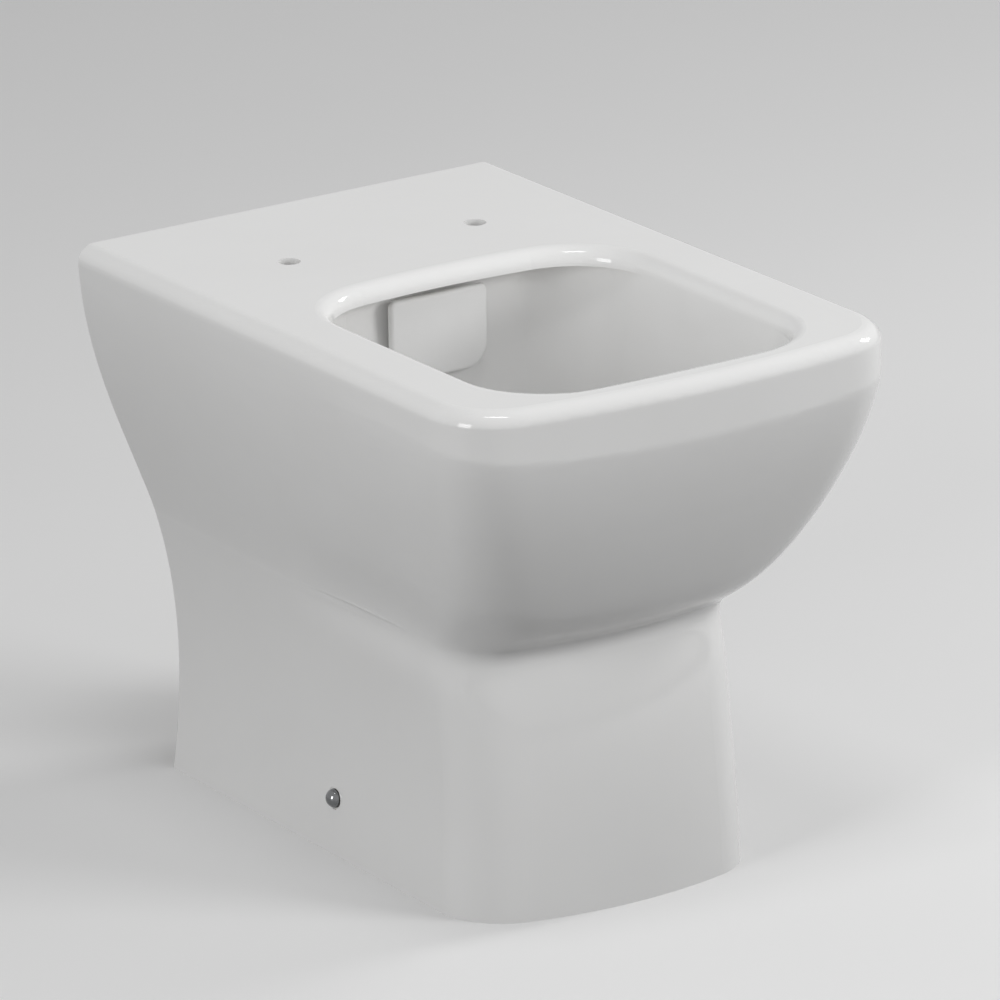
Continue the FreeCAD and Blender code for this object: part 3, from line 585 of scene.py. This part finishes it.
def look_from(settings):
    """The camera's matrix: it stands back from the aim, turned to the left, raised and rolled."""
    turn, rise = settings.turn, settings.rise
    back = Vector((-math.sin(turn) * math.cos(rise), -math.cos(turn) * math.cos(rise), math.sin(rise)))
    right = Vector((math.cos(turn), -math.sin(turn), 0.0))
    up = back.cross(right)
    tilt = Matrix.Rotation(settings.roll, 3, "Z")
    turned = Matrix((right, up, back)).transposed() @ tilt
    return Matrix.Translation(Vector(settings.aim) + back * settings.distance) @ turned.to_4x4()


def sheet_mesh(name, points):
    """A mesh over a grid of points, rows by columns by three, each four neighbours joined into a face."""
    rows, columns = points.shape[:2]
    first = (np.arange(rows - 1)[:, None] * columns + np.arange(columns - 1)).ravel()
    faces = np.stack([first, first + 1, first + columns + 1, first + columns], axis=1)
    mesh = bpy.data.meshes.new(name)
    mesh.from_pydata(points.reshape(-1, 3), [], faces)
    mesh.update()
    return mesh


def add_object(name, mesh, material):
    """Links a mesh into the scene with one material."""
    mesh.materials.clear()
    mesh.materials.append(material)
    piece = bpy.data.objects.new(name, mesh)
    bpy.context.scene.collection.objects.link(piece)
    return piece


def seen_share(nodes, links):
    """1 for rays that the camera sends straight or by a mirror or glass, and 0 for soft light."""
    path = nodes.new("ShaderNodeLightPath")
    straight_or_mirror = nodes.new("ShaderNodeMath")
    straight_or_mirror.operation = "MAXIMUM"
    any_seen = nodes.new("ShaderNodeMath")
    any_seen.operation = "MAXIMUM"
    links.new(path.outputs["Is Camera Ray"], straight_or_mirror.inputs[0])
    links.new(path.outputs["Is Glossy Ray"], straight_or_mirror.inputs[1])
    links.new(straight_or_mirror.outputs["Value"], any_seen.inputs[0])
    links.new(path.outputs["Is Transmission Ray"], any_seen.inputs[1])
    return any_seen.outputs["Value"]


def floor_material(settings):
    """Plain pale floor with faint clouding, shown paler than the light that it throws back on the pan."""
    material, nodes, links, shader = new_material("pale_floor")
    clouds = spread(nodes, links, noise(nodes, links, scale=1.5, detail=3.0), 0.0, 1.0)
    cloud_shade = 0.985
    darker = tuple(cloud_shade * part for part in settings.floor_colour)
    links.new(two_tone(nodes, links, clouds, settings.floor_colour, darker), shader.inputs["Base Color"])
    shader.inputs["Roughness"].default_value = 0.7
    shader.inputs["Specular IOR Level"].default_value = 0.1
    dim = nodes.new("ShaderNodeBsdfDiffuse")
    dim.inputs["Color"].default_value = (*settings.floor_return, 1.0)
    mix = nodes.new("ShaderNodeMixShader")
    links.new(seen_share(nodes, links), mix.inputs["Fac"])
    links.new(dim.outputs["BSDF"], mix.inputs[1])
    links.new(shader.outputs["BSDF"], mix.inputs[2])
    links.new(mix.outputs["Shader"], nodes["Material Output"].inputs["Surface"])
    return material


def add_floor(settings):
    """A flat square sheet under the pan."""
    reach = np.linspace(-FLOOR_HALF, FLOOR_HALF, 3)
    across, along = np.meshgrid(reach, reach)
    points = np.stack([across, along, np.zeros_like(across)], axis=-1)
    floor = add_object("floor", sheet_mesh("floor", points), floor_material(settings))


def add_sky(settings):
    """Soft light from all round, shown as pale grey to the camera and in reflections."""
    world = bpy.data.worlds.new("soft_sky")
    world.use_nodes = True
    bpy.context.scene.world = world
    nodes, links = world.node_tree.nodes, world.node_tree.links
    light = nodes["Background"]
    light.inputs["Color"].default_value = (1.0, 1.0, 1.0, 1.0)
    light.inputs["Strength"].default_value = settings.sky_light
    shown = nodes.new("ShaderNodeBackground")
    shown.inputs["Color"].default_value = (SKY_SHOWN, SKY_SHOWN, SKY_SHOWN, 1.0)
    mix = nodes.new("ShaderNodeMixShader")
    links.new(seen_share(nodes, links), mix.inputs["Fac"])
    links.new(light.outputs["Background"], mix.inputs[1])
    links.new(shown.outputs["Background"], mix.inputs[2])
    links.new(mix.outputs["Shader"], nodes["World Output"].inputs["Surface"])


def add_lamp(name, place, size, power, fan, glints):
    """A soft lamp that faces the pan, with a fan of light in degrees, and that shows in the glaze or not."""
    lamp = bpy.data.lights.new(name, "AREA")
    lamp.shape = "RECTANGLE"
    lamp.size, lamp.size_y = size
    lamp.energy = power
    lamp.spread = math.radians(fan)
    piece = bpy.data.objects.new(name, lamp)
    direction = Vector(PAN_HEART) - Vector(place)
    facing = direction.to_track_quat("-Z", "Y").to_matrix().to_4x4()
    piece.matrix_world = Matrix.Translation(place) @ facing
    piece.visible_glossy = glints
    bpy.context.scene.collection.objects.link(piece)


def add_camera(settings):
    """The camera at the photograph's angle."""
    camera = bpy.data.cameras.new("camera")
    camera.lens = settings.lens
    camera.sensor_width = 36.0
    camera.clip_end = 100.0
    piece = bpy.data.objects.new("camera", camera)
    piece.matrix_world = look_from(settings)
    bpy.context.scene.collection.objects.link(piece)
    bpy.context.scene.camera = piece


class PAN_OT_glaze(bpy.types.Operator):
    """Form the band under the rim, the rounded waist and the flanks' valleys, and glaze the pan"""
    bl_idname = "pan.glaze"
    bl_label = "Form and glaze the pan"

    def execute(self, context):
        glaze = glaze_material(context.scene.pan_glaze)
        pan = add_object("pan_body", form_pan(context.scene.pan_form), glaze)
        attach(pan, "pan")
        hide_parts("ceramic_pan")
        return {"FINISHED"}


class PAN_OT_flush(bpy.types.Operator):
    """Finish the flush deflector and the flush seals"""
    bl_idname = "pan.flush"
    bl_label = "Finish the flush fittings"

    def execute(self, context):
        settings = context.scene.pan_fittings
        plastic = moulded_material("white_plastic", settings.plastic, rough=0.3, grain=0.000002, uneven=0.01)
        deflector = add_object("deflector_plate", soften_deflector(settings), plastic)
        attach(deflector, "pan")
        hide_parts("flush_deflector")
        rubber = moulded_material("black_rubber", settings.rubber, rough=0.62, grain=0.000012)
        for node in ("flush_inlet_seal", "deflector_ring"):
            dress(node, rubber)
        return {"FINISHED"}


class PAN_OT_fixings(bpy.types.Operator):
    """Finish the brackets, bushes, retainers, screws and inserts that hold the pan to the floor"""
    bl_idname = "pan.fixings"
    bl_label = "Finish the fixings"

    def execute(self, context):
        settings = context.scene.pan_fittings
        turned_marks = (0.05, 1.0, 1.0)
        nylon = moulded_material("moulded_nylon", settings.nylon, rough=0.42, grain=0.000008)
        steel = metal_material("turned_steel", settings.steel, rough=0.28, stretch=turned_marks)
        brass = metal_material("turned_brass", settings.brass, rough=0.3, stretch=turned_marks)
        for side in SIDES:
            for piece in ("floor_bracket", "side_bush", "cap_retainer"):
                dress(f"{side}_{piece}", nylon)
            dress(f"{side}_side_screw", steel)
            dress(f"{side}_bracket_nut", brass)
        return {"FINISHED"}


class PAN_OT_caps(bpy.types.Operator):
    """Finish the domed caps over the side screws"""
    bl_idname = "pan.caps"
    bl_label = "Finish the screw caps"

    def execute(self, context):
        colour = context.scene.pan_fittings.chrome
        # The darkened colour paints in the caps' dark reflections; chrome's own colour is paler.
        chrome = metal_material("polished_chrome", colour, rough=0.05, stretch=(1.0, 1.0, 1.0))
        for side in SIDES:
            dome = add_object(f"{side}_cap_dome", closed_cap(f"{side}_screw_cap"), chrome)
            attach(dome, f"{side}_cap")
            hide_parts(f"{side}_screw_cap")
        return {"FINISHED"}


class PAN_OT_stage(bpy.types.Operator):
    """Set the floor, the light and the camera"""
    bl_idname = "pan.stage"
    bl_label = "Set the stage"

    def execute(self, context):
        settings = context.scene.pan_stage
        add_floor(settings)
        add_sky(settings)
        for name, (place, size, fan, glints) in LAMPS.items():
            add_lamp(f"{name}_lamp", place, size, getattr(settings, f"{name}_power"), fan, glints)
        add_camera(settings)
        context.scene.view_settings.view_transform = "Standard"
        return {"FINISHED"}


class PAN_PT_sidebar(bpy.types.Panel):
    """The pan's finishes and stage in the sidebar"""
    bl_label = "Toilet pan"
    bl_idname = "PAN_PT_sidebar"
    bl_space_type = "VIEW_3D"
    bl_region_type = "UI"
    bl_category = "Pan"

    def draw(self, context):
        for group in [getattr(context.scene, key) for key in GROUPS]:
            box = self.layout.box()
            for key in group.bl_rna.properties.keys():
                if key not in ("rna_type", "name"):
                    box.prop(group, key)
        for operator in OPERATORS:
            self.layout.operator(operator.bl_idname)


OPERATORS = (PAN_OT_glaze, PAN_OT_flush, PAN_OT_fixings, PAN_OT_caps, PAN_OT_stage)
GROUPS = {
    "pan_form": PanFormSettings,
    "pan_glaze": PanGlazeSettings,
    "pan_fittings": PanFittingSettings,
    "pan_stage": PanStageSettings,
}
CLASSES = (*GROUPS.values(), *OPERATORS, PAN_PT_sidebar)


def register():
    """Makes the settings, operators and panel known to Blender."""
    for item in CLASSES:
        bpy.utils.register_class(item)
    for key, group in GROUPS.items():
        setattr(bpy.types.Scene, key, PointerProperty(type=group))


def unregister():
    """Takes the settings, operators and panel away again."""
    for key in GROUPS:
        delattr(bpy.types.Scene, key)
    for item in reversed(CLASSES):
        bpy.utils.unregister_class(item)


def main():
    """Finishes each piece in order and sets the stage."""
    register()
    bpy.ops.pan.glaze()
    bpy.ops.pan.flush()
    bpy.ops.pan.fixings()
    bpy.ops.pan.caps()
    bpy.ops.pan.stage()


if __name__ == "__main__":
    main()
